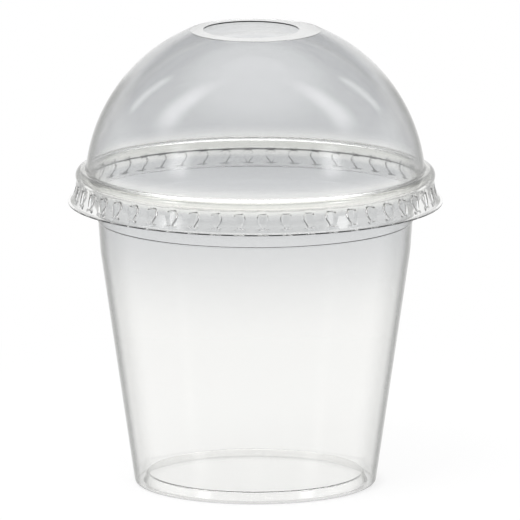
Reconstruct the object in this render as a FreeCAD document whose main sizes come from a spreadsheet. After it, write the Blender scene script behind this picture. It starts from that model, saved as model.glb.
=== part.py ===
import FreeCAD, Part
import Sketcher
import os
import re

# A clear cold-drink cup with a dome lid that grips its rim, in millimetres. The origin is the middle
# of the plane that the cup stands on, +Z is up and -Y is the front. Both pieces are formed from one
# thin sheet each, so every wall lies between an outer skin and an inner skin one wall inside it.

SIZES = {
    # Cup
    "cup_height": 86.2,  # table to the top of the rolled rim
    "cup_wall": 0.4,
    "rim_radius": 47.5,  # outside of the rolled rim
    "curl_radius": 1.5,  # outside of the roll's own section
    "flare_drop": 7.2,  # top of the rim down to the flare, where the wall widens
    "flare_length": 3.6,
    "flare_width": 1.7,
    "flare_bend": 1.5,
    "shoulder_drop": 2.95,  # flare's foot down to the small step that nested cups rest on
    "shoulder_step": 0.3,
    "knee_drop": 8.25,  # small step down to the knee, where the wall's taper changes
    "knee_bend": 30.0,
    "upper_draft": 4.0,  # degrees
    "lower_draft": 8.3,  # degrees
    "base_corner": 1.2,
    "foot_width": 2.8,  # wall to the inner side of the ring that the cup stands on
    "base_rise": 2.5,  # table to the underside of the raised base panel
    "recess_slope": 0.8,
    "base_bend": 0.4,  # inside of the two folds in the base
    # Lid
    "lid_wall": 0.35,
    "seat_gap": 0.15,  # rim to the inside of the bead's top
    "neck_gap": 0.75,  # rim to the inside of the skirt
    "bead_radius": 2.0,
    "bead_proud": 0.25,
    "valley_bend": 0.5,  # fillet between the dome and the bead
    "dome_inset": 0.55,
    "dome_drop": 2.8,  # bead's centre down to the sphere's centre
    "hole_radius": 13.0,
    "hole_left": 1.15,  # the hole is punched a little off the middle
    "hole_back": 1.2,
    "ring_width": 4.8,  # flat ring round the hole
    "ring_bend": 0.2,
    "crease_drop": 2.95,  # bead's centre down to the crease where the skirt starts to flare
    "crease_step": 0.1,
    "skirt_flare": 1.2,
    "flange_drop": 6.9,  # bead's centre down to the top of the flange
    "flange_width": 1.0,
    "flange_bend": 0.4,
    # Snap lugs, pressed into the skirt from outside
    "lug_count": 48,
    "lug_turn": 2.4,  # degrees from the front to the nearest lug
    "lug_radius": 1.35,  # round head of the shield-shaped lug
    "lug_length": 2.7,  # middle of the head down to the tip
    "lug_lean": 18.0,  # degrees that the floor leans back, so that the lug gets shallow at its tip
    "lug_drop": 3.2,  # bead's centre down to the middle of the head
    "lug_gap": 0.1,  # lug to the rolled rim
    "lug_reach": 2.5,  # floor outwards, past the skirt
}

# Cup: radii and heights that follow from the sizes
CURL_MIDDLE = "(rim_radius - curl_radius)"
CURL_HEIGHT = "(cup_height - curl_radius)"
MOUTH = "(rim_radius - 2 * curl_radius + cup_wall)"
FLARE_LOW = f"({MOUTH} - flare_width)"
FLARE_TOP = "(cup_height - flare_drop)"
FLARE_FOOT = f"({FLARE_TOP} - flare_length)"
SHOULDER = f"({FLARE_FOOT} - shoulder_drop)"
KNEE_HEIGHT = f"({SHOULDER} - knee_drop)"
STEP_HEIGHT = f"({SHOULDER} + shoulder_step)"
STEP_TOP = f"({FLARE_LOW} - tan(upper_draft) * (shoulder_drop - shoulder_step))"
STEP_LOW = f"({STEP_TOP} - shoulder_step)"
KNEE = f"({STEP_LOW} - tan(upper_draft) * knee_drop)"
BASE = f"({KNEE} - tan(lower_draft) * {KNEE_HEIGHT})"
FOOT = f"({BASE} - foot_width)"
PANEL = f"({FOOT} - recess_slope)"

# Lid: its bead hangs over the cup's rim, and the rest of it is placed from the bead
NECK = "(rim_radius + neck_gap + lid_wall)"
BEAD_MIDDLE = f"({NECK} + bead_proud - bead_radius)"
BEAD_HEIGHT = "(cup_height + seat_gap + lid_wall - bead_radius)"
DOME_RADIUS = f"({BEAD_MIDDLE} - dome_inset)"
DOME_HEIGHT = f"({BEAD_HEIGHT} - dome_drop)"
RING = "(hole_radius + ring_width)"
LID_TOP = f"({DOME_HEIGHT} + sqrt({DOME_RADIUS}^2 - {RING}^2))"
CREASE = f"({NECK} + crease_step)"
CREASE_HEIGHT = f"({BEAD_HEIGHT} - crease_drop)"
SKIRT_FOOT = f"({CREASE} + skirt_flare)"
FLANGE_EDGE = f"({SKIRT_FOOT} + flange_width)"
FLANGE_TOP = f"({BEAD_HEIGHT} - flange_drop)"
FLANGE_LOW = f"({FLANGE_TOP} - lid_wall)"
LUG_HEIGHT = f"({BEAD_HEIGHT} - lug_drop)"
LUG_FLOOR = "(rim_radius + lug_gap + lid_wall + lug_radius * sin(lug_lean))"

doc = FreeCAD.newDocument("cup_with_dome_lid")
sheet = doc.addObject("Spreadsheet::Sheet", "Sizes")
for row, (size_name, size) in enumerate(SIZES.items(), start=1):
    sheet.set(f"A{row}", str(size))
    sheet.setAlias(f"A{row}", size_name)
doc.recompute()


def bound(formula):
    """The formula with each size written as its cell in the sheet."""
    return re.sub(r"[a-z]+_[a-z_]+", lambda size: "Sizes." + size.group(), formula)


def value(formula):
    """The formula's number for the sizes in the sheet."""
    return float(sheet.evalExpression(bound(formula)))


class Guess(str):
    """A coordinate that an arc settles by itself: the formula only says where it starts from."""


def origin_part(body, role):
    """A plane or an axis of the body's own origin."""
    return next(part for part in body.Origin.OriginFeatures if part.Role == role)


def new_sketch(body, name, role="XZ_Plane"):
    sketch = body.newObject("Sketcher::SketchObject", name)
    sketch.AttachmentSupport = [(origin_part(body, role), "")]
    sketch.MapMode = "FlatFace"
    return sketch


def hold(sketch, kind, place, formula):
    """Holds a radius, or one coordinate of a point, at the formula."""
    index = sketch.addConstraint(Sketcher.Constraint(kind, *place, value(formula)))
    sketch.setExpression(f"Constraints[{index}]", bound(formula))


def hold_point(sketch, point, formulas):
    """Holds the coordinates of a point, given as (geometry, end), that are no guesses."""
    for kind, axis, formula in zip(("DistanceX", "DistanceY"), (-2, -1), formulas):
        if formula == "0":
            sketch.addConstraint(Sketcher.Constraint("PointOnObject", *point, axis))
        elif not isinstance(formula, Guess):
            hold(sketch, kind, (-1, 1, *point), formula)


def draw_outline(sketch, corners, arcs=None):
    """Draws a closed outline. In a half section the radius is along the sketch's X axis.

    corners are pairs of formulas. arcs gives, for the number of the corner that an arc leaves, the
    arc's centre, its radius and whether it runs anticlockwise.
    """
    arcs = arcs or {}
    points = [FreeCAD.Vector(value(radius), value(height), 0) for radius, height in corners]
    starts, ends = [], []
    for number, start in enumerate(points):
        end = points[(number + 1) % len(points)]
        if number in arcs:
            centre, radius, anticlockwise = arcs[number]
            middle = FreeCAD.Vector(value(centre[0]), value(centre[1]), 0)
            circle = Part.Circle(middle, FreeCAD.Vector(0, 0, 1), value(radius))
            first, last = (start, end) if anticlockwise else (end, start)
            arc = Part.ArcOfCircle(circle, circle.parameter(first), circle.parameter(last))
            geometry = sketch.addGeometry(arc, False)
            hold_point(sketch, (geometry, 3), centre)
            hold(sketch, "Radius", (geometry,), radius)
            starts.append((geometry, 1 if anticlockwise else 2))
            ends.append((geometry, 2 if anticlockwise else 1))
        else:
            geometry = sketch.addGeometry(Part.LineSegment(start, end), False)
            starts.append((geometry, 1))
            ends.append((geometry, 2))
    for number, corner in enumerate(corners):
        sketch.addConstraint(Sketcher.Constraint("Coincident", *ends[number - 1], *starts[number]))
        hold_point(sketch, starts[number], corner)


def turn(body, kind, name, sketch):
    """Adds to the body, or cuts from it, what the sketch sweeps in one full turn."""
    feature = body.newObject(kind, name)
    feature.Profile = sketch
    feature.ReferenceAxis = (sketch, ["V_Axis"])
    feature.Angle = 360
    doc.recompute()


def round_edge(body, name, radius, place):
    """Fillets the round edge of the body that lies nearest to a (radius, height) place."""
    last = body.Tip
    wanted_radius, wanted_height = value(place[0]), value(place[1])
    distances = {}
    for number, edge in enumerate(last.Shape.Edges, start=1):
        if isinstance(edge.Curve, Part.Circle):
            off = (edge.Curve.Radius - wanted_radius, edge.Curve.Center.z - wanted_height)
            distances[f"Edge{number}"] = off[0] ** 2 + off[1] ** 2
    fillet = body.newObject("PartDesign::Fillet", name)
    fillet.Base = (last, [min(distances, key=distances.get)])
    fillet.setExpression("Radius", bound(radius))
    doc.recompute()


# Cup


def draw_wall(body, name, inset, bulges):
    """Draws the cup's outer skin, or the one inset within it, and returns its sketch and corners."""
    bend = f"(knee_bend + {bulges})"
    reach = f"({bend} * tan((lower_draft - upper_draft) / 2))"
    knee = f"{KNEE} - {inset}"
    knee_low = (f"{knee} - {reach} * sin(lower_draft)", f"{KNEE_HEIGHT} - {reach} * cos(lower_draft)")
    knee_high = (f"{knee} + {reach} * sin(upper_draft)", f"{KNEE_HEIGHT} + {reach} * cos(upper_draft)")
    centre = (f"{knee_low[0]} - {bend} * cos(lower_draft)", f"{knee_low[1]} + {bend} * sin(lower_draft)")
    corners = [
        ("0", f"base_rise + {inset}"),
        (f"{PANEL} + {inset}", f"base_rise + {inset}"),
        (f"{FOOT} + {inset}", inset),
        (f"{BASE} - {inset} + tan(lower_draft) * {inset}", inset),
        (Guess(knee_low[0]), knee_low[1]),
        (Guess(knee_high[0]), knee_high[1]),
        (f"{STEP_LOW} - {inset}", SHOULDER),
        (f"{STEP_TOP} - {inset}", STEP_HEIGHT),
        (f"{FLARE_LOW} - {inset}", FLARE_FOOT),
        (f"{MOUTH} - {inset}", FLARE_TOP),
        (f"{MOUTH} - {inset}", CURL_HEIGHT),
        ("0", CURL_HEIGHT),
    ]
    sketch = new_sketch(body, name)
    draw_outline(sketch, corners, {4: (centre, bend, True)})
    return sketch, corners


def round_wall(body, skin, corners, bulges, hollows):
    """Rounds a skin's folds: those that bulge out of the solid there and those that are hollow."""
    panel, foot, base, flare_low, flare_high = (corners[number] for number in (1, 2, 3, 8, 9))
    round_edge(body, f"{skin}_panel_bend", f"base_bend + {hollows}", panel)
    round_edge(body, f"{skin}_foot_bend", f"base_bend + {bulges}", foot)
    round_edge(body, f"{skin}_base_corner", f"base_corner - {hollows}", base)
    round_edge(body, f"{skin}_flare_foot", f"flare_bend + {hollows}", flare_low)
    round_edge(body, f"{skin}_flare_top", f"flare_bend + {bulges}", flare_high)


def make_cup():
    body = doc.addObject("PartDesign::Body", "cup")
    body.Label = "cup"

    outside, corners = draw_wall(body, "cup_outside", "0", bulges="cup_wall")
    turn(body, "PartDesign::Revolution", "cup_solid", outside)
    round_wall(body, "outer", corners, bulges="cup_wall", hollows="0")

    inside, corners = draw_wall(body, "cup_inside", "cup_wall", bulges="0")
    turn(body, "PartDesign::Groove", "cup_hollow", inside)
    round_wall(body, "inner", corners, bulges="0", hollows="cup_wall")

    make_curl(body)
    return body


def make_curl(body):
    """The rim, rolled outwards and down over three quarters of a turn."""
    sketch = new_sketch(body, "curl_section")
    centre = (CURL_MIDDLE, CURL_HEIGHT)
    inner = "curl_radius - cup_wall"
    corners = [
        (Guess(f"{CURL_MIDDLE} - curl_radius"), CURL_HEIGHT),
        (CURL_MIDDLE, Guess(f"{CURL_HEIGHT} - curl_radius")),
        (CURL_MIDDLE, Guess(f"{CURL_HEIGHT} - ({inner})")),
        (Guess(f"{CURL_MIDDLE} - ({inner})"), CURL_HEIGHT),
    ]
    draw_outline(sketch, corners, {0: (centre, "curl_radius", False), 2: (centre, inner, True)})
    turn(body, "PartDesign::Revolution", "curl", sketch)


# Lid


def add_dome(body, inset):
    """The dome as a solid of its outer skin, or of the skin that lies inset within it."""
    sketch = new_sketch(body, f"{body.Name}_dome_section")
    radius = f"{DOME_RADIUS} - {inset}"
    foot = f"sqrt(({radius})^2 - ({DOME_HEIGHT} - {FLANGE_LOW})^2)"
    ring = f"sqrt(({radius})^2 - ({LID_TOP} - {inset} - {DOME_HEIGHT})^2)"
    corners = [
        ("0", FLANGE_LOW),
        (Guess(foot), FLANGE_LOW),
        (Guess(ring), f"{LID_TOP} - {inset}"),
        ("0", f"{LID_TOP} - {inset}"),
    ]
    draw_outline(sketch, corners, {1: (("0", DOME_HEIGHT), radius, True)})
    turn(body, "PartDesign::Revolution", f"{body.Name}_dome", sketch)


def add_skirt(body, inset):
    """The bead over the rim, the neck, the flared skirt and the flange, as one ring round the dome."""
    sketch = new_sketch(body, f"{body.Name}_skirt_section")
    radius = f"bead_radius - {inset}"
    side = f"{NECK} - {inset} - {BEAD_MIDDLE}"
    corners = [
        (Guess(f"{BEAD_MIDDLE} - ({radius})"), BEAD_HEIGHT),
        (f"{BEAD_MIDDLE} - ({radius})", f"{FLANGE_LOW} - {inset}"),
        (f"{FLANGE_EDGE} + {inset}", f"{FLANGE_LOW} - {inset}"),
        (f"{FLANGE_EDGE} + {inset}", f"{FLANGE_TOP} - {inset}"),
        (f"{SKIRT_FOOT} - {inset}", f"{FLANGE_TOP} - {inset}"),
        (f"{CREASE} - {inset}", CREASE_HEIGHT),
        (f"{NECK} - {inset}", Guess(f"{BEAD_HEIGHT} - sqrt(({radius})^2 - ({side})^2)")),
    ]
    draw_outline(sketch, corners, {6: ((BEAD_MIDDLE, BEAD_HEIGHT), radius, True)})
    turn(body, "PartDesign::Revolution", f"{body.Name}_skirt", sketch)
    return corners[4]


def cut_lugs(body, inset):
    """The ring of lugs: shields with a round head and a pointed foot, pressed into the skirt."""
    sketch = new_sketch(body, f"{body.Name}_lug_outline", "YZ_Plane")
    lean = FreeCAD.Rotation(FreeCAD.Vector(-1, 0, 0), value("lug_lean"))
    sketch.AttachmentOffset = FreeCAD.Placement(FreeCAD.Vector(), lean)
    sketch.setExpression("AttachmentOffset.Rotation.Angle", bound("lug_lean"))
    sketch.setExpression("AttachmentOffset.Base.y", bound(f"{LUG_HEIGHT} - {inset} * sin(lug_lean)"))
    sketch.setExpression("AttachmentOffset.Base.z", bound(f"{LUG_FLOOR} - {inset} * cos(lug_lean)"))
    radius = f"(lug_radius + {inset})"
    side = f"{radius} * sqrt(1 - (lug_radius / lug_length)^2)"
    side_height = f"-{radius} * lug_radius / lug_length"
    corners = [
        ("0", f"-{radius} * lug_length / lug_radius"),
        (side, Guess(side_height)),
        (f"-{side}", Guess(side_height)),
    ]
    draw_outline(sketch, corners, {1: (("0", "0"), radius, True)})
    lug = body.newObject("PartDesign::Pocket", f"{body.Name}_lug")
    lug.Profile = sketch
    lug.Reversed = True
    lug.setExpression("Length", bound("lug_reach"))
    doc.recompute()

    lugs = body.newObject("PartDesign::PolarPattern", f"{body.Name}_lugs")
    lugs.Originals = [lug]
    lugs.Axis = (origin_part(body, "Z_Axis"), [""])
    lugs.Angle = 360
    lugs.setExpression("Occurrences", bound("lug_count"))
    body.Tip = lugs
    body.setExpression("Placement.Rotation.Angle", bound("lug_turn"))


def make_skin(name, inset, bulges, hollows):
    """One skin of the lid as a solid body: the outer one, or the one inset within it."""
    body = doc.addObject("PartDesign::Body", name)
    body.Label = name
    add_dome(body, inset)
    flange_corner = add_skirt(body, inset)
    round_edge(body, f"{name}_ring_bend", f"ring_bend + {bulges}", (RING, LID_TOP))
    valley = (DOME_RADIUS, f"{BEAD_HEIGHT} + bead_radius")
    round_edge(body, f"{name}_valley", f"valley_bend + {hollows}", valley)
    round_edge(body, f"{name}_flange_bend", f"flange_bend + {hollows}", flange_corner)
    cut_lugs(body, inset)
    return body


def make_lid():
    outer = make_skin("lid_outer_skin", "0", bulges="lid_wall", hollows="0")
    inner = make_skin("lid_inner_skin", "lid_wall", bulges="0", hollows="lid_wall")
    shell = doc.addObject("Part::Cut", "lid_shell")
    shell.Base = outer
    shell.Tool = inner

    hole = doc.addObject("Part::Cylinder", "hole")
    hole.setExpression("Radius", bound("hole_radius"))
    hole.setExpression("Height", bound("2 * lid_wall"))
    hole.setExpression("Placement.Base.x", bound("-hole_left"))
    hole.setExpression("Placement.Base.y", bound("hole_back"))
    hole.setExpression("Placement.Base.z", bound(f"{LID_TOP} - 1.5 * lid_wall"))

    lid = doc.addObject("Part::Cut", "dome_lid")
    lid.Label = "dome_lid"
    lid.Base = shell
    lid.Tool = hole
    return lid


pieces = [make_cup(), make_lid()]
doc.recompute()

for item in doc.Objects:
    if "Invalid" in item.State or "Error" in item.State:
        raise RuntimeError(f"{item.Label} is not built: {item.State}")
for piece in pieces:
    if piece.Shape.isNull() or not piece.Shape.isValid() or len(piece.Shape.Solids) != 1:
        raise RuntimeError(f"{piece.Label} has no single valid solid")

os.makedirs("parts", exist_ok=True)
for piece in pieces:
    piece.Shape.exportStep(f"parts/{piece.Label}.step")
    box = piece.Shape.BoundBox
    print(f"{piece.Label}: {box.XLength:.2f} x {box.YLength:.2f} x {box.ZLength:.2f} mm")
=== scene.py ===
"""A clear thermoformed cup and its dome lid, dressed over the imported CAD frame.

Sizes are written in millimetres and kept in metres, as Blender and the frame have them. The cup
stands on z = 0 with its axis on Z, and its front faces -Y. Each piece is one sheet: its outer skin
is drawn as a section, spun round the axis, and then given its wall towards the inside.
"""

import math

import bmesh
import bpy
from mathutils import Matrix, Vector
from mathutils.geometry import intersect_sphere_sphere_2d


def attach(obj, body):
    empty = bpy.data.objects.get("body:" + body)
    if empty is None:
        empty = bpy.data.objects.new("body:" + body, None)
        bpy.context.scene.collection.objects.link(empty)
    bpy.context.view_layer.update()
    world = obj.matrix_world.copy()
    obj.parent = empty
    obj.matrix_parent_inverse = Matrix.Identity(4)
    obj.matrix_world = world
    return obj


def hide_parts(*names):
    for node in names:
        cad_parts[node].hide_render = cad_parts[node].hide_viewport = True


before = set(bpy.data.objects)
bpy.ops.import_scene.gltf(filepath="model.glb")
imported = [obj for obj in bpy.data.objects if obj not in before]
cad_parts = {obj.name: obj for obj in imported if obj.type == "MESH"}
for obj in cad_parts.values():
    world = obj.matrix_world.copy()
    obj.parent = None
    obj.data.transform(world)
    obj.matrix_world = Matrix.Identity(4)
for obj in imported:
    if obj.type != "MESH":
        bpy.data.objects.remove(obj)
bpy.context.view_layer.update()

bl_info = {
    "name": "Clear cup with dome lid",
    "version": (1, 0, 0),
    "blender": (4, 5, 0),
    "location": "3D View > Sidebar > Cup",
    "description": "Models a clear cup and its dome lid, and sets a white studio round them",
    "category": "Add Mesh",
}

MM = 0.001
UP = Vector((0, 0, 1))
NEAR = 0.001 * MM  # points nearer than this count as one
ARC_STEP = math.radians(6)  # longest straight piece of a bend, as a turn
SMALL_BEND_STEP = math.radians(9)  # the same for the roll, the bead and the valley
DOME_STEP = math.radians(2.3)  # the same for the dome, whose outline is the longest
SMOOTH_FOLD = math.radians(80)  # folds up to this one are shaded smooth


# Sizes and colours


def length(name, description, millimetres):
    """A length property, stated in millimetres."""
    return bpy.props.FloatProperty(
        name=name, description=description, default=millimetres * MM, unit="LENGTH", precision=5
    )


def angle(name, description, degrees):
    """An angle property, stated in degrees."""
    return bpy.props.FloatProperty(
        name=name, description=description, default=math.radians(degrees), unit="ROTATION"
    )


def linear(code):
    """The linear colour of an sRGB hex code such as 8FA0B1."""
    channels = (int(code[place : place + 2], 16) / 255 for place in (0, 2, 4))
    return tuple(c / 12.92 if c <= 0.04045 else ((c + 0.055) / 1.055) ** 2.4 for c in channels)


def colour(name, description, code):
    """A colour property, stated as an sRGB hex code."""
    return bpy.props.FloatVectorProperty(
        name=name, description=description, default=linear(code), subtype="COLOR", min=0, max=1
    )


def strength(name, description, amount):
    """A strength property: how bright a part of the studio is, as a share of plain white."""
    return bpy.props.FloatProperty(name=name, description=description, default=amount, min=0)


class CupSizes(bpy.types.PropertyGroup):
    """Sizes of the cup."""

    height: length("Height", "Table to the top of the rolled rim", 86.2)
    wall: length("Wall", "Thickness of the sheet", 0.4)
    rim_radius: length("Rim radius", "Outside of the rolled rim", 47.5)
    curl_radius: length("Curl radius", "Outside of the roll's own section", 1.5)
    flare_drop: length("Flare drop", "Top of the rim down to where the wall widens", 7.2)
    flare_length: length("Flare length", "Height of the part where the wall widens", 3.6)
    flare_width: length("Flare width", "How far the wall widens", 1.7)
    flare_bend: length("Flare bend", "Inner radius of the flare's folds", 1.5)
    shoulder_drop: length("Shoulder drop", "Flare's foot down to the stacking step", 2.95)
    shoulder_step: length("Shoulder step", "Width and height of the stacking step", 0.3)
    step_bend: length("Step bend", "Radius of the stacking step's two bends", 0.51)
    knee_drop: length("Knee drop", "Stacking step down to where the taper changes", 8.25)
    knee_bend: length("Knee bend", "Radius of the wall where its taper changes", 30)
    upper_draft: angle("Upper draft", "Taper of the wall above the knee", 4)
    lower_draft: angle("Lower draft", "Taper of the wall below the knee", 8.3)
    base_corner: length("Base corner", "Outer radius between wall and foot", 1.2)
    foot_width: length("Foot width", "Wall to the inner side of the foot ring", 2.8)
    base_rise: length("Base rise", "Table to the underside of the raised panel", 2.5)
    recess_slope: length("Recess slope", "How far the recess narrows on its way up", 0.8)
    base_bend: length("Base bend", "Inner radius of the two folds in the base", 0.4)
    columns: bpy.props.IntProperty(
        name="Columns", description="Faces round the cup", default=360, min=24
    )


class LidSizes(bpy.types.PropertyGroup):
    """Sizes of the dome lid."""

    wall: length("Wall", "Thickness of the sheet", 0.35)
    seat_gap: length("Seat gap", "Cup's rim to the inside of the bead's top", 0.15)
    neck_gap: length("Neck gap", "Cup's rim to the inside of the skirt", 0.75)
    bead_radius: length("Bead radius", "Outside of the bead over the rim", 2)
    bead_proud: length("Bead proud", "How far the bead stands out from the skirt", 0.25)
    valley_bend: length("Valley bend", "Fillet between dome and bead", 0.5)
    dome_inset: length("Dome inset", "Middle of the bead inwards to the dome's radius", 0.55)
    dome_drop: length("Dome drop", "Middle of the bead down to the dome's centre", 2.8)
    hole_radius: length("Hole radius", "Radius of the drinking hole", 13)
    hole_left: length("Hole left", "Hole's middle, to the left of the axis", 1.15)
    hole_back: length("Hole back", "Hole's middle, behind the axis", 1.2)
    ring_width: length("Ring width", "Flat ring round the hole", 4.8)
    ring_bend: length("Ring bend", "Inner radius between flat ring and dome", 0.2)
    crease_drop: length("Crease drop", "Middle of the bead down to the skirt's crease", 2.95)
    crease_step: length("Crease step", "How far the neck widens down to the crease", 0.1)
    skirt_flare: length("Skirt flare", "How far the skirt widens below the crease", 1.2)
    flange_drop: length("Flange drop", "Middle of the bead down to the flange", 6.9)
    flange_width: length("Flange width", "Skirt's foot to the edge of the flange", 1)
    flange_bend: length("Flange bend", "Fillet between skirt and flange", 0.7)
    lugs: bpy.props.IntProperty(
        name="Lugs", description="Snap lugs pressed into the skirt", default=48, min=3
    )
    lug_turn: angle("Lug turn", "The front to the nearest lug", 2.4)
    lug_radius: length("Lug radius", "Round head of the shield-shaped lug", 1.35)
    lug_length: length("Lug length", "Middle of the head down to the tip", 2.7)
    lug_lean: angle("Lug lean", "How far the lug's floor leans back", 18)
    lug_drop: length("Lug drop", "Middle of the bead down to the middle of the head", 3.2)
    lug_gap: length("Lug gap", "Lug to the cup's rim", 0.1)
    lug_draft: angle("Lug draft", "Slope of the lug's pressed sides", 15)


class CupLooks(bpy.types.PropertyGroup):
    """Colours of the clear plastic and the studio, and the strengths of the studio's lamps."""

    clear: colour("Clear", "Clear sheet where it is drawn thin", "FAFAF9")
    # Painted shade: a grey laid on the upper cup and the dome for the darker studio seen through them.
    painted_shade: colour("Thick", "Clear sheet where it stays thick", "E3E4E5")
    # Painted light: the rolled rim and the bead are painted white, free of the grey, for the light they
    # gather from all sides.
    rim: colour("Rim", "Rolled rim and bead, lit up from all sides", "FFFFFD")
    # Seen edge-on, partly the sheet's own olive tint and partly painted shade for the dark edges of the
    # clear sheet.
    edge: colour("Edge", "Sheet seen along its surface", "42443D")
    backdrop: colour("Backdrop", "White sweep under and round the cup", "FFFFFF")
    studio: colour("Studio", "Studio over the sweep", "A0A1A3")
    overhead: strength("Overhead", "Soft light from straight above", 1.5)
    side_lamps: strength("Side lamps", "Tall softboxes at the left and the right", 2.5)
    back_lamps: strength("Back lamps", "Narrow strips behind, at both sides", 1.4)
    front_lamps: strength("Front lamps", "Low softboxes in front, at both sides", 3.0)
    top_light: strength("Top light", "Large softbox high behind", 6.0)


# Mesh tools


def spot(radius, height):
    """A point of a section, which is drawn in the XZ plane."""
    return Vector((radius, 0, height))


def run(mesh, tip, place):
    """Draws a straight edge from the tip of a section and returns the new tip."""
    end = bmesh.ops.extrude_vert_indiv(mesh, verts=[tip])["verts"][0]
    end.co = place
    return end


def sweep(mesh, tip, centre, turn, step=ARC_STEP):
    """Draws an arc from the tip of a section and returns the new tip.

    As seen from the front, a positive turn goes clockwise.
    """
    steps = max(2, math.ceil(abs(turn) / step))
    arc = bmesh.ops.spin(
        mesh, geom=[tip], cent=centre, axis=(0, 1, 0), angle=turn, steps=steps, use_duplicate=False
    )
    return next(part for part in arc["geom_last"] if isinstance(part, bmesh.types.BMVert))


def trace(mesh, tip, corners):
    """Draws straight runs through corners, each a radius, a height and a bend, and returns the tip."""
    for number, (radius, height, bend) in enumerate(corners):
        corner = spot(radius, height)
        if bend:
            came = (corner - tip.co).normalized()
            goes = (spot(*corners[number + 1][:2]) - corner).normalized()
            turn = math.copysign(came.angle(goes), came.cross(goes).y)
            tip = run(mesh, tip, corner - came * bend * math.tan(abs(turn) / 2))
            side = Vector((0, 1, 0)).cross(came) * math.copysign(bend, turn)
            tip = sweep(mesh, tip, tip.co + side, turn)
        else:
            tip = run(mesh, tip, corner)
    return tip


def heading(centre, place):
    """Clockwise angle, as seen from the front, from straight up to the line from centre to place."""
    return math.atan2(place.x - centre.x, place.z - centre.z)


def turn_all(mesh, turn):
    """Turns everything in a mesh round the axis."""
    bmesh.ops.rotate(mesh, verts=mesh.verts, cent=(0, 0, 0), matrix=Matrix.Rotation(turn, 3, "Z"))


def spin_all(mesh, turn, steps, **settings):
    """Spins everything in a mesh round the axis, as a skin or, with use_duplicate, as copies."""
    parts = mesh.verts[:] + mesh.edges[:] + mesh.faces[:]
    bmesh.ops.spin(mesh, geom=parts, cent=(0, 0, 0), axis=UP, angle=turn, steps=steps, **settings)


def finish_piece(mesh, name, wall, node, body, material):
    """Gives a skin its wall and makes it a piece that stands for a CAD node."""
    bmesh.ops.remove_doubles(mesh, verts=mesh.verts, dist=NEAR)
    bmesh.ops.recalc_face_normals(mesh, faces=mesh.faces)
    # At half its height, a skin faces away from the axis.
    heights = [vert.co.z for vert in mesh.verts]
    middle = (min(heights) + max(heights)) / 2
    side = min(mesh.faces, key=lambda face: abs(face.calc_center_median().z - middle))
    if side.normal.dot(side.calc_center_median() - UP * middle) < 0:
        bmesh.ops.reverse_faces(mesh, faces=mesh.faces)
    bmesh.ops.solidify(mesh, geom=mesh.faces[:], thickness=wall)
    data = bpy.data.meshes.new(name)
    mesh.to_mesh(data)
    mesh.free()
    data.shade_smooth()
    data.set_sharp_from_angle(angle=SMOOTH_FOLD)
    data.materials.append(material)
    piece = bpy.data.objects.new(name, data)
    bpy.context.scene.collection.objects.link(piece)
    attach(piece, body)
    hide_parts(node)


# Materials


EASED = {"interpolation_type": "SMOOTHSTEP"}
TIMES = {"operation": "MULTIPLY"}
COLOURS = {"data_type": "RGBA"}


def add_node(nodes, kind, settings=None, inputs=None):
    """Adds a node, sets it and its inputs, and links the inputs that are given as sockets or nodes.

    Of a node that is given as an input, the first output is linked.
    """
    node = nodes.new(kind)
    for name, setting in (settings or {}).items():
        setattr(node, name, setting)
    for name, given in (inputs or {}).items():
        source = given.outputs[0] if isinstance(given, bpy.types.Node) else given
        if isinstance(source, bpy.types.NodeSocket):
            nodes.id_data.links.new(source, node.inputs[name])
        else:
            node.inputs[name].default_value = source
    return node


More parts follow.
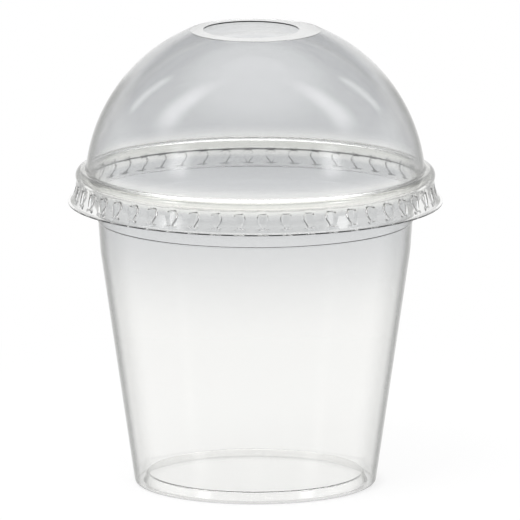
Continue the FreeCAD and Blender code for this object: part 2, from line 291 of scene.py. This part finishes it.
def clear_plastic(name, looks, painted_shade_zone, rim_zone, wave):
    """Thermoformed clear polyester sheet, as drinks cups are drawn from.

    It is glass-clear and glossy on both sides, and has the faint waves of a sheet that was drawn hot.
    Its colour holds painted shade and light. It is painted a little grey from the first to the second
    height of its painted shade zone, for the darker studio seen through it. The rolled rim or the bead,
    between the two heights of the rim zone, is painted white for the light it gathers from all sides.
    Seen edge-on it turns dark olive, partly its own tint and partly painted shade for its dark edges.
    The last value is the length of its waves.
    """
    material = bpy.data.materials.new(name)
    material.use_nodes = True
    nodes = material.node_tree.nodes
    place = add_node(nodes, "ShaderNodeTexCoord").outputs["Object"]
    normal = add_node(nodes, "ShaderNodeNewGeometry").outputs["Normal"]
    rise = add_node(nodes, "ShaderNodeSeparateXYZ", inputs={"Vector": normal}).outputs["Z"]
    values = {
        "one": 1.0,
        "height": add_node(nodes, "ShaderNodeSeparateXYZ", inputs={"Vector": place}).outputs["Z"],
        "level": add_node(nodes, "ShaderNodeMath", {"operation": "ABSOLUTE"}, {0: rise}),
        "facing": add_node(nodes, "ShaderNodeLayerWeight", inputs={"Blend": 0.5}).outputs["Facing"],
    }

    # Each row makes a new value. While its source goes from start to end, it eases from the first
    # number to the last, and it is then multiplied by its factor. The values mask the painted grey
    # shade, the rim's painted light and the edge-on tint with its painted shade. Level faces, such as
    # the ring and the base, aren't upright, and so they get no edge-on shade even when seen along
    # their surface.
    low, high = rim_zone
    soft = 1 * MM
    for value, source, start, end, first, last, factor in (
        ("over_rim_foot", "height", low - soft, low + soft, 0, 1, "one"),
        ("rim", "height", high + soft, high - soft, 0, 1, "over_rim_foot"),
        ("off_rim", "rim", 0, 1, 1, 0, "one"),
        ("painted_shade", "height", *painted_shade_zone, 0, 1, "off_rim"),
        ("painted_grey", "level", 0.92, 1, 1, 0, "painted_shade"),
        ("flat", "level", 0.5, 0.9, 0, 1, "painted_shade"),
        ("not_level", "level", 0.9, 0.99, 1, 0, "one"),
        ("upright", "flat", 0, 0.5, 1, 0, "not_level"),
        ("aslant_tint_and_painted_shade", "facing", 0.4, 0.7, 0, 0.25, "upright"),
        ("edge_on_tint_and_painted_shade", "facing", 0.66, 0.84, 0, 1, "upright"),
    ):
        eased = add_node(
            nodes,
            "ShaderNodeMapRange",
            EASED,
            {0: values[source], "From Min": start, "From Max": end, "To Min": first, "To Max": last},
        )
        values[value] = add_node(nodes, "ShaderNodeMath", TIMES, {0: eased, 1: values[factor]})

    # Each colour covers the ones before it, as far as its value goes: the painted grey shade, then the
    # rim's painted light, then the edge-on tint and its painted shade.
    tint = (*looks.clear, 1)
    for value, shade in (
        ("painted_grey", looks.painted_shade),
        ("rim", looks.rim),
        ("aslant_tint_and_painted_shade", looks.edge),
        ("edge_on_tint_and_painted_shade", looks.edge),
    ):
        tint = add_node(
            nodes, "ShaderNodeMix", COLOURS, {0: values[value], 6: tint, 7: (*shade, 1)}
        ).outputs[2]

    # The waves lie level round the piece, four times as long as they are high.
    squeezed = add_node(nodes, "ShaderNodeVectorMath", TIMES, {0: place, 1: (1, 1, 4)})
    waves = add_node(
        nodes, "ShaderNodeTexNoise", inputs={"Vector": squeezed, "Scale": 1 / wave, "Detail": 1.0}
    )
    bump = add_node(
        nodes,
        "ShaderNodeBump",
        inputs={"Strength": 0.25, "Distance": 0.1 * MM, "Height": waves.outputs["Fac"]},
    )
    shader = nodes["Principled BSDF"]
    links = material.node_tree.links
    links.new(tint, shader.inputs["Base Color"])
    links.new(bump.outputs["Normal"], shader.inputs["Normal"])
    shader.inputs["Roughness"].default_value = 0.03
    shader.inputs["IOR"].default_value = 1.575
    shader.inputs["Transmission Weight"].default_value = 1.0
    return material


# Pieces


class CUP_OT_make_cup(bpy.types.Operator):
    """Make the clear cup with its raised base, stacking step, flare and rolled rim"""

    bl_idname = "cup.make_cup"
    bl_label = "Make cup"

    def execute(self, context):
        cup = context.scene.cup_sizes
        mouth = cup.rim_radius - 2 * cup.curl_radius + cup.wall
        flare_top = cup.height - cup.flare_drop
        flare_foot = flare_top - cup.flare_length
        shoulder = flare_foot - cup.shoulder_drop
        knee_height = shoulder - cup.knee_drop
        slope = math.tan(cup.upper_draft)
        flare_low = mouth - cup.flare_width
        step_top = flare_low - slope * (cup.shoulder_drop - cup.shoulder_step)
        step_low = step_top - cup.shoulder_step
        knee = step_low - slope * cup.knee_drop
        base = knee - math.tan(cup.lower_draft) * knee_height
        foot = base - cup.foot_width
        panel = foot - cup.recess_slope
        curl_height = cup.height - cup.curl_radius

        mesh = bmesh.new()
        tip = trace(
            mesh,
            mesh.verts.new(spot(0, cup.base_rise)),
            [
                (panel, cup.base_rise, cup.base_bend),
                (foot, 0, cup.base_bend + cup.wall),
                (base, 0, cup.base_corner),
                (knee, knee_height, cup.knee_bend + cup.wall),
                (step_low, shoulder, cup.step_bend),
                (step_top, shoulder + cup.shoulder_step, cup.step_bend),
                (flare_low, flare_foot, cup.flare_bend),
                (mouth, flare_top, cup.flare_bend + cup.wall),
                (mouth, curl_height, 0),
            ],
        )
        # The rim is rolled outwards and down over three quarters of a turn.
        middle = spot(cup.rim_radius - cup.curl_radius, curl_height)
        sweep(mesh, tip, middle, 0.75 * math.tau, SMALL_BEND_STEP)
        spin_all(mesh, math.tau, cup.columns, use_merge=True)
        material = clear_plastic(
            "clear_polyester_cup",
            context.scene.cup_looks,
            # The painted grey shade grows up the wall round the knee, and the rim zone holds the roll's
            # painted light.
            painted_shade_zone=(knee_height - 20 * MM, knee_height + 12 * MM),
            rim_zone=(curl_height - 2.5 * MM, curl_height + 10 * MM),
            wave=14 * MM,
        )
        finish_piece(mesh, "cup_shell", cup.wall, "cup", "cup", material)
        return {"FINISHED"}


class CUP_OT_make_lid(bpy.types.Operator):
    """Make the dome lid with its hole, its bead over the cup's rim and its ring of snap lugs"""

    bl_idname = "cup.make_lid"
    bl_label = "Make lid"

    head_turns = (70, 50, 30, 10, -10)  # degrees over level, of the rows through a lug's round head
    side_rows = 3  # of faces along a lug's straight sides
    half_columns = 6  # of faces from the middle of a lug to half-way to the next
    floor_columns = 2  # of them, those on half of the lug's floor

    def execute(self, context):
        cup, lid = context.scene.cup_sizes, context.scene.lid_sizes
        neck = cup.rim_radius + lid.neck_gap + lid.wall
        bead = spot(
            neck + lid.bead_proud - lid.bead_radius,
            cup.height + lid.seat_gap + lid.wall - lid.bead_radius,
        )
        dome = spot(0, bead.z - lid.dome_drop)
        dome_radius = bead.x - lid.dome_inset
        ring = lid.hole_radius + lid.ring_width
        top = dome.z + math.sqrt(dome_radius**2 - ring**2)
        crease = spot(neck + lid.crease_step, bead.z - lid.crease_drop)
        skirt_foot = spot(crease.x + lid.skirt_flare, bead.z - lid.flange_drop)
        neck_turn = math.acos((neck - bead.x) / lid.bead_radius)
        lug_height = bead.z - lid.lug_drop

        def skirt_radius(height):
            """Outer radius of the neck, or of the flared skirt below the crease."""
            if height > crease.z:
                share = (height - crease.z) / (bead.z - crease.z)
                return crease.x - lid.crease_step * min(share, 1)
            return crease.x + lid.skirt_flare * (crease.z - height) / (crease.z - skirt_foot.z)

        # A row near the ring's edge keeps the shading of the ring flat.
        mesh = bmesh.new()
        tip = run(mesh, mesh.verts.new(spot(lid.hole_radius, top)), spot(ring * 0.95, top))

        # The bend from the flat ring into the dome touches both.
        bend = lid.ring_bend + lid.wall
        bend_middle = spot(
            math.sqrt((dome_radius - bend) ** 2 - (top - bend - dome.z) ** 2), top - bend
        )
        tip = run(mesh, tip, bend_middle + UP * bend)
        tip = sweep(mesh, tip, bend_middle, heading(dome, bend_middle))

        # The valley between dome and bead touches both from outside.
        crossings = intersect_sphere_sphere_2d(
            dome.xz, dome_radius + lid.valley_bend, bead.xz, lid.bead_radius + lid.valley_bend
        )
        valley = spot(*max(crossings, key=lambda crossing: crossing.y))
        dome_turn = heading(dome, valley) - heading(dome, tip.co)
        tip = sweep(mesh, tip, dome, dome_turn, DOME_STEP)
        valley_turn = heading(bead, valley) - heading(dome, valley)
        tip = sweep(mesh, tip, valley, valley_turn, SMALL_BEND_STEP)
        bead_turn = math.pi / 2 + neck_turn - heading(bead, tip.co)
        tip = sweep(mesh, tip, bead, bead_turn, SMALL_BEND_STEP)

        # Rows down the neck and the skirt follow the lug's outline, with one more row on either side.
        head = [lid.lug_radius * math.sin(math.radians(turn)) for turn in self.head_turns]
        touch = self.find_touch(lid)
        side = [
            touch - (lid.lug_length + touch) * row / self.side_rows
            for row in range(self.side_rows + 1)
        ]
        levels = [lug_height + along * math.cos(lid.lug_lean) for along in head + side]
        rows = [levels[0] + lid.lug_radius / 4, *levels, levels[-1] - lid.lug_radius / 10]
        corners = [(skirt_radius(row), row, 0) for row in rows]
        corners.append((skirt_foot.x, skirt_foot.z, lid.flange_bend))
        corners.append((skirt_foot.x + lid.flange_width, skirt_foot.z, 0))
        trace(mesh, tip, corners)

        # One lug's share of the lid is spun, pressed and then repeated round the axis. The first lug
        # lies on +X until the lid is turned.
        pitch = math.tau / lid.lugs
        turn_all(mesh, -pitch / 2)
        spin_all(mesh, pitch, 2 * self.half_columns)
        for vert in mesh.verts:
            if levels[-1] - NEAR < vert.co.z < levels[0] + NEAR:
                self.press(vert, cup, lid, lug_height, pitch)
        spin_all(mesh, math.tau - pitch, lid.lugs - 1, use_duplicate=True)
        turn_all(mesh, lid.lug_turn - math.pi / 2)

        # The hole is a little off the middle of its flat ring.
        inside = lid.hole_radius + lid.ring_width / 2
        hole = [vert for vert in mesh.verts if vert.co.xy.length < inside]
        bmesh.ops.translate(mesh, verts=hole, vec=(-lid.hole_left, lid.hole_back, 0))
        material = clear_plastic(
            "clear_polyester_lid",
            context.scene.cup_looks,
            # The painted grey shade covers the dome above the bead, and the rim zone holds the bead's
            # painted light.
            painted_shade_zone=(bead.z + 2 * MM, bead.z + 6 * MM),
            rim_zone=(bead.z - 2 * MM, bead.z + 3 * MM),
            wave=18 * MM,
        )
        finish_piece(mesh, "lid_shell", lid.wall, "dome_lid", "lid", material)
        return {"FINISHED"}

    def find_touch(self, lid):
        """Where a lug's straight sides touch its round head, measured up from the head's middle."""
        return -(lid.lug_radius**2) / lid.lug_length

    def press(self, vert, cup, lid, lug_height, pitch):
        """Moves a point of the skirt in to the lug's floor, or sideways to the skirt beside the lug."""
        least = lid.lug_radius / 40  # keeps the columns apart at the top and the tip of the lug
        along = (vert.co.z - lug_height) / math.cos(lid.lug_lean)
        touch = self.find_touch(lid)
        if along > touch:
            half_width = math.sqrt(max(lid.lug_radius**2 - along**2, 0))
        else:
            widest = math.sqrt(lid.lug_radius**2 - touch**2)
            half_width = widest * (along + lid.lug_length) / (lid.lug_length + touch)
        half_width = max(half_width, least)

        radius = vert.co.xy.length
        floor = cup.rim_radius + lid.lug_gap + lid.wall
        floor += (lid.lug_radius - along) * math.sin(lid.lug_lean)
        turn = math.atan2(vert.co.y, vert.co.x)
        column = abs(round(turn / pitch * 2 * self.half_columns))
        side_column = self.floor_columns + 1
        if column < side_column:
            new_turn = half_width / radius * column / self.floor_columns
            radius = min(radius, floor / math.cos(new_turn))
        else:
            depth = max(radius - floor, least)
            side = (half_width + depth * math.tan(lid.lug_draft)) / radius
            share = (column - side_column) / (self.half_columns - side_column)
            new_turn = side + (pitch / 2 - side) * share
        new_turn = math.copysign(new_turn, turn)
        vert.co.x, vert.co.y = radius * math.cos(new_turn), radius * math.sin(new_turn)


# Studio


# Each soft lamp has two bearings in degrees, measured from the front and alike to the left and the
# right, two heights as the Z of the direction to it, the softness of its edges, and its strength.
LAMPS = (
    ((76, 94), (0.55, 0.88), 7, "side_lamps"),
    ((121, 127), (0.38, 0.68), 3, "back_lamps"),
    ((50, 64), (0.22, 0.46), 5, "front_lamps"),
    ((168, 200), (0.47, 0.76), 3, "top_light"),
)


class CUP_OT_make_stage(bpy.types.Operator):
    """Make the white floor, the studio round it, the soft lamps and the camera"""

    bl_idname = "cup.make_stage"
    bl_label = "Make stage"

    def execute(self, context):
        looks = context.scene.cup_looks
        self.make_floor(context, looks)
        self.make_world(context, looks)
        self.make_key_light(context)
        self.make_camera(context)
        context.scene.view_settings.view_transform = "Standard"
        return {"FINISHED"}

    def make_camera(self, context):
        """A camera with a very long lens, a little above level."""
        camera = bpy.data.objects.new("camera", bpy.data.cameras.new("camera"))
        camera.data.lens = 1200
        camera.data.sensor_width = 36
        seen_width = 141.3 * MM
        distance = seen_width * camera.data.lens / camera.data.sensor_width
        elevation = math.radians(10.95)
        aim = Vector((1.25, 0, 61.15)) * MM
        toward = Vector((0, -math.cos(elevation), math.sin(elevation)))
        camera.location = aim + toward * distance
        camera.rotation_euler = toward.to_track_quat("Z", "Y").to_euler()
        camera.data.clip_end = 2 * distance
        context.scene.collection.objects.link(camera)
        context.scene.camera = camera

    def make_floor(self, context, looks):
        """A white floor that keeps a light shadow and fades into the sweep round it."""
        mesh = bmesh.new()
        bmesh.ops.create_circle(mesh, cap_ends=True, segments=96, radius=300 * MM)
        data = bpy.data.meshes.new("floor")
        mesh.to_mesh(data)
        mesh.free()
        material = bpy.data.materials.new("matt_white_sweep")
        material.use_nodes = True
        nodes = material.node_tree.nodes
        nodes.remove(nodes["Principled BSDF"])
        place = add_node(nodes, "ShaderNodeTexCoord").outputs["Object"]
        reach = add_node(nodes, "ShaderNodeVectorMath", {"operation": "LENGTH"}, {0: place})

        # The floor's real shadow shows most at the foot ring. Inside the ring the floor is plain glow,
        # painted light in place of the shadow under the clear base.
        # Each row eases from its third to its fourth number between two millimetres from the axis.
        shadow = 1.0
        for start, end, first, last in ((27, 31, 0, 1), (31, 37, 0.35, 0.1), (50, 200, 1, 0)):
            eased = add_node(
                nodes,
                "ShaderNodeMapRange",
                EASED,
                {
                    "Value": reach.outputs["Value"],
                    "From Min": start * MM,
                    "From Max": end * MM,
                    "To Min": first,
                    "To Max": last,
                },
            )
            shadow = add_node(nodes, "ShaderNodeMath", TIMES, {0: shadow, 1: eased})

        # Matt white paper has no gloss, and it glows where it is to be lost in the sweep.
        white = (*looks.backdrop, 1)
        paper = add_node(nodes, "ShaderNodeBsdfDiffuse", inputs={"Color": white})
        glow = add_node(nodes, "ShaderNodeEmission", inputs={"Color": white, "Strength": 1.0})
        mix = add_node(nodes, "ShaderNodeMixShader", inputs={0: shadow, 1: glow, 2: paper})
        surface = nodes["Material Output"].inputs["Surface"]
        material.node_tree.links.new(mix.outputs["Shader"], surface)
        data.materials.append(material)
        floor = bpy.data.objects.new("floor", data)
        context.scene.collection.objects.link(floor)

    def make_key_light(self, context):
        """One large soft lamp from above and in front, for the shadow on the floor."""
        lamp = bpy.data.lights.new("key_softbox", "AREA")
        lamp.size = 600 * MM
        lamp.energy = 6
        distance = 1200 * MM
        toward = Vector((-0.3, -0.5, 1)).normalized()
        holder = bpy.data.objects.new("key_softbox", lamp)
        holder.location = toward * distance
        holder.rotation_euler = toward.to_track_quat("Z", "Y").to_euler()
        holder.visible_glossy = False
        holder.visible_transmission = False
        context.scene.collection.objects.link(holder)

    def make_world(self, context, looks):
        """White all round up to a little over the horizon, and a dim studio with soft lamps above.

        Camera, glossy and transmission rays see it in full, and the floor is lit by plain white.
        """
        world = bpy.data.worlds.new("white_studio")
        context.scene.world = world
        world.use_nodes = True
        nodes = world.node_tree.nodes
        nodes.remove(nodes["Background"])
        direction = add_node(nodes, "ShaderNodeTexCoord").outputs["Generated"]
        axes = add_node(nodes, "ShaderNodeSeparateXYZ", inputs={"Vector": direction}).outputs
        sweep_end = add_node(
            nodes,
            "ShaderNodeMapRange",
            EASED,
            {"Value": axes["Z"], "From Min": 0.2, "From Max": 0.45},
        )
        white = (*looks.backdrop, 1)
        colour_seen = add_node(
            nodes, "ShaderNodeMix", COLOURS, {0: sweep_end, 6: white, 7: (*looks.studio, 1)}
        ).outputs[2]

        across = add_node(nodes, "ShaderNodeMath", {"operation": "ABSOLUTE"}, {0: axes["X"]})
        forward = add_node(nodes, "ShaderNodeMath", TIMES, {0: axes["Y"], 1: -1.0})
        bearing = add_node(
            nodes, "ShaderNodeMath", {"operation": "ARCTAN2"}, {0: across, 1: forward}
        )
        glow = add_node(
            nodes,
            "ShaderNodeMapRange",
            EASED,
            {"Value": axes["Z"], "From Min": 0.7, "From Max": 1.0, "To Max": looks.overhead},
        )
        for bearings, heights, softness, power in LAMPS:
            soft = math.radians(softness)
            patch = getattr(looks, power)
            left, right = (math.radians(degrees) for degrees in bearings)
            low, high = heights
            for measure, limit, inwards in (
                (bearing, left, soft),
                (bearing, right, -soft),
                (axes["Z"], low, soft),
                (axes["Z"], high, -soft),
            ):
                eased = add_node(
                    nodes,
                    "ShaderNodeMapRange",
                    EASED,
                    {"Value": measure, "From Min": limit - inwards, "From Max": limit + inwards},
                )
                patch = add_node(nodes, "ShaderNodeMath", TIMES, {0: eased, 1: patch})
            glow = add_node(nodes, "ShaderNodeMath", {"operation": "ADD"}, {0: glow, 1: patch})

        light = add_node(nodes, "ShaderNodeLightPath").outputs
        seen = light["Is Camera Ray"]
        for kind in ("Is Glossy Ray", "Is Transmission Ray"):
            seen = add_node(
                nodes, "ShaderNodeMath", {"operation": "MAXIMUM"}, {0: seen, 1: light[kind]}
            )
        plain = add_node(nodes, "ShaderNodeBackground", inputs={"Color": white})
        back = add_node(nodes, "ShaderNodeBackground", inputs={"Color": colour_seen})
        lamps = add_node(nodes, "ShaderNodeBackground", inputs={"Strength": glow})
        studio = add_node(nodes, "ShaderNodeAddShader", inputs={0: back, 1: lamps})
        mix = add_node(nodes, "ShaderNodeMixShader", inputs={0: seen, 1: plain, 2: studio})
        surface = nodes["World Output"].inputs["Surface"]
        world.node_tree.links.new(mix.outputs["Shader"], surface)


class CUP_PT_panel(bpy.types.Panel):
    """Lists the steps that build the cup, its lid and the stage"""

    bl_label = "Clear cup with dome lid"
    bl_idname = "CUP_PT_panel"
    bl_space_type = "VIEW_3D"
    bl_region_type = "UI"
    bl_category = "Cup"

    def draw(self, context):
        for step in STEPS:
            self.layout.operator(step.bl_idname)
        for name in SETTINGS:
            group = getattr(context.scene, name)
            box = self.layout.box()
            for setting in group.__annotations__:
                box.prop(group, setting)


STEPS = (CUP_OT_make_cup, CUP_OT_make_lid, CUP_OT_make_stage)
SETTINGS = {"cup_sizes": CupSizes, "lid_sizes": LidSizes, "cup_looks": CupLooks}


def register():
    for group in SETTINGS.values():
        bpy.utils.register_class(group)
    for step in (*STEPS, CUP_PT_panel):
        bpy.utils.register_class(step)
    for name, group in SETTINGS.items():
        setattr(bpy.types.Scene, name, bpy.props.PointerProperty(type=group))


def unregister():
    for name in SETTINGS:
        delattr(bpy.types.Scene, name)
    for step in (CUP_PT_panel, *STEPS):
        bpy.utils.unregister_class(step)
    for group in SETTINGS.values():
        bpy.utils.unregister_class(group)


def main():
    register()
    bpy.ops.cup.make_cup()
    bpy.ops.cup.make_lid()
    bpy.ops.cup.make_stage()


if __name__ == "__main__":
    main()
